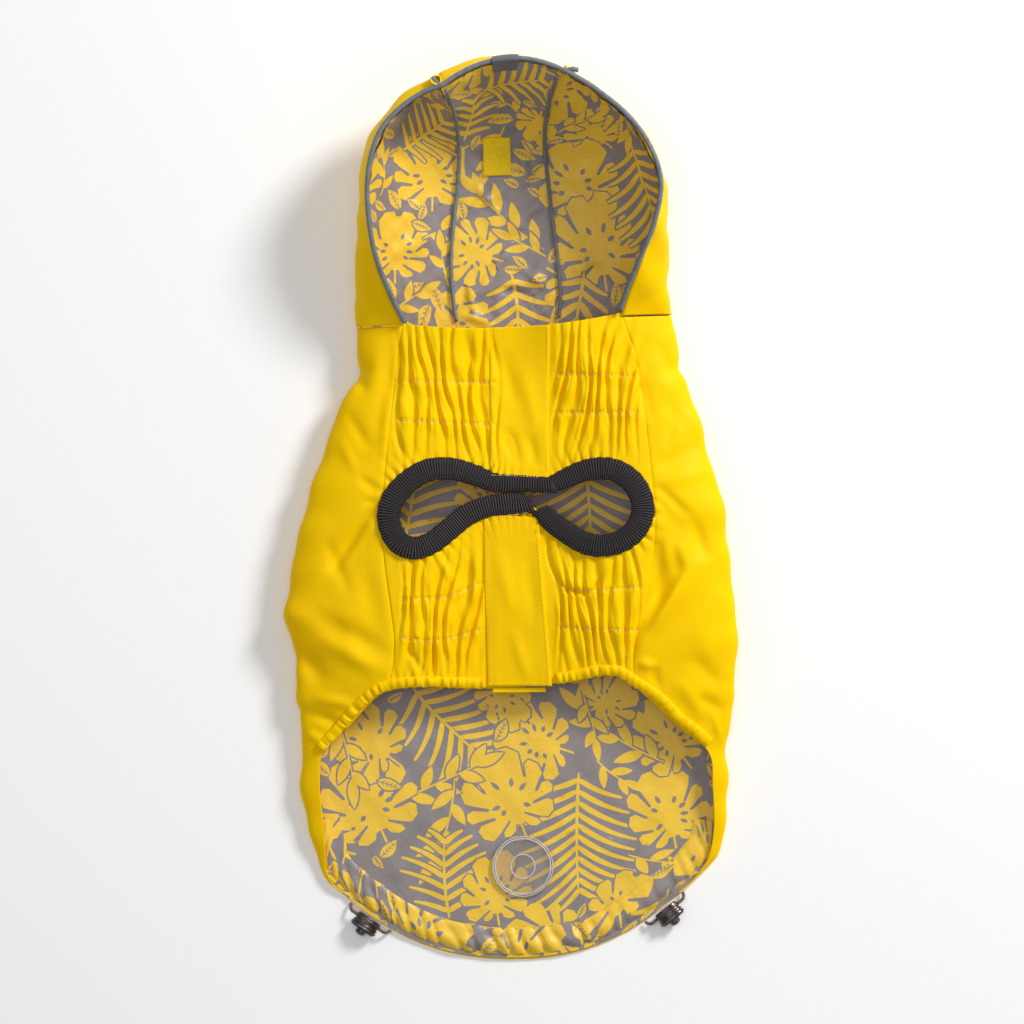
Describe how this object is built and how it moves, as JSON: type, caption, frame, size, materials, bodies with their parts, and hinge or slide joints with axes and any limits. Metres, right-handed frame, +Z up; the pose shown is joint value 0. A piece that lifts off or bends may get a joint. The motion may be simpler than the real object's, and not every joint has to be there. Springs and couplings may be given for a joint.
{
  "type": "dog raincoat",
  "caption": "Hooded dog raincoat with a leaf-print lining, gathered belly panels, ribbed leg openings and a drawcord tail hem, laid out flat on its back.",
  "frame": {"origin": "middle of the coat's box, on the surface that it lies on", "axes": "+X to the viewer's right across the belly side, +Y towards the hood, +Z up out of the belly side"},
  "size_m": [0.2688, 0.5394, 0.0602],
  "materials": {
    "coated_yellow": "smooth water-repellent coating, soft sheen",
    "printed_lining": "smooth lining, grey with a yellow leaf print",
    "black_rib": "ribbed elastic",
    "grey_piping": "matt grey piping",
    "clear_badge": "translucent soft plastic",
    "gunmetal": "dark glossy metal-like finish",
    "brown_cord": "braided elastic cord"
  },
  "bodies": {
    "coat": {"back_shell": "coated_yellow", "chest_left": "coated_yellow", "chest_right": "coated_yellow", "belly_left": "coated_yellow", "belly_right": "coated_yellow", "placket_upper": "coated_yellow", "placket_lower": "coated_yellow", "placket_underlap": "coated_yellow", "hem_casing_left": "coated_yellow", "hem_casing_right": "coated_yellow", "hood_shell_left": "coated_yellow", "hood_shell_centre": "coated_yellow", "hood_shell_right": "coated_yellow", "hood_patch": "coated_yellow", "back_lining": "printed_lining", "hem_facing": "printed_lining", "hood_lining_left": "printed_lining", "hood_lining_centre": "printed_lining", "hood_lining_right": "printed_lining", "leg_trim_left": "black_rib", "leg_trim_right": "black_rib", "rim_piping": "grey_piping", "rim_label": "grey_piping", "seam_piping_left": "grey_piping", "seam_piping_right": "grey_piping", "outer_piping_left": "grey_piping", "outer_piping_right": "grey_piping", "badge": "clear_badge", "cord_lock_left": "gunmetal", "cord_lock_right": "gunmetal", "drawcord_left": "brown_cord", "drawcord_right": "brown_cord"},
    "plunger_left": {"lock_plunger_left": "gunmetal"},
    "plunger_right": {"lock_plunger_right": "gunmetal"}
  },
  "joints": [
    {"name": "plunger_left_press", "type": "slide", "parent": "coat", "child": "plunger_left", "axis": [0.5725, 0.8199, 0], "range_m": [0, 0.002], "stiffness_N_per_m": 200},
    {"name": "plunger_right_press", "type": "slide", "parent": "coat", "child": "plunger_right", "axis": [-0.6225, 0.7826, 0], "range_m": [0, 0.002], "stiffness_N_per_m": 200}
  ]
}
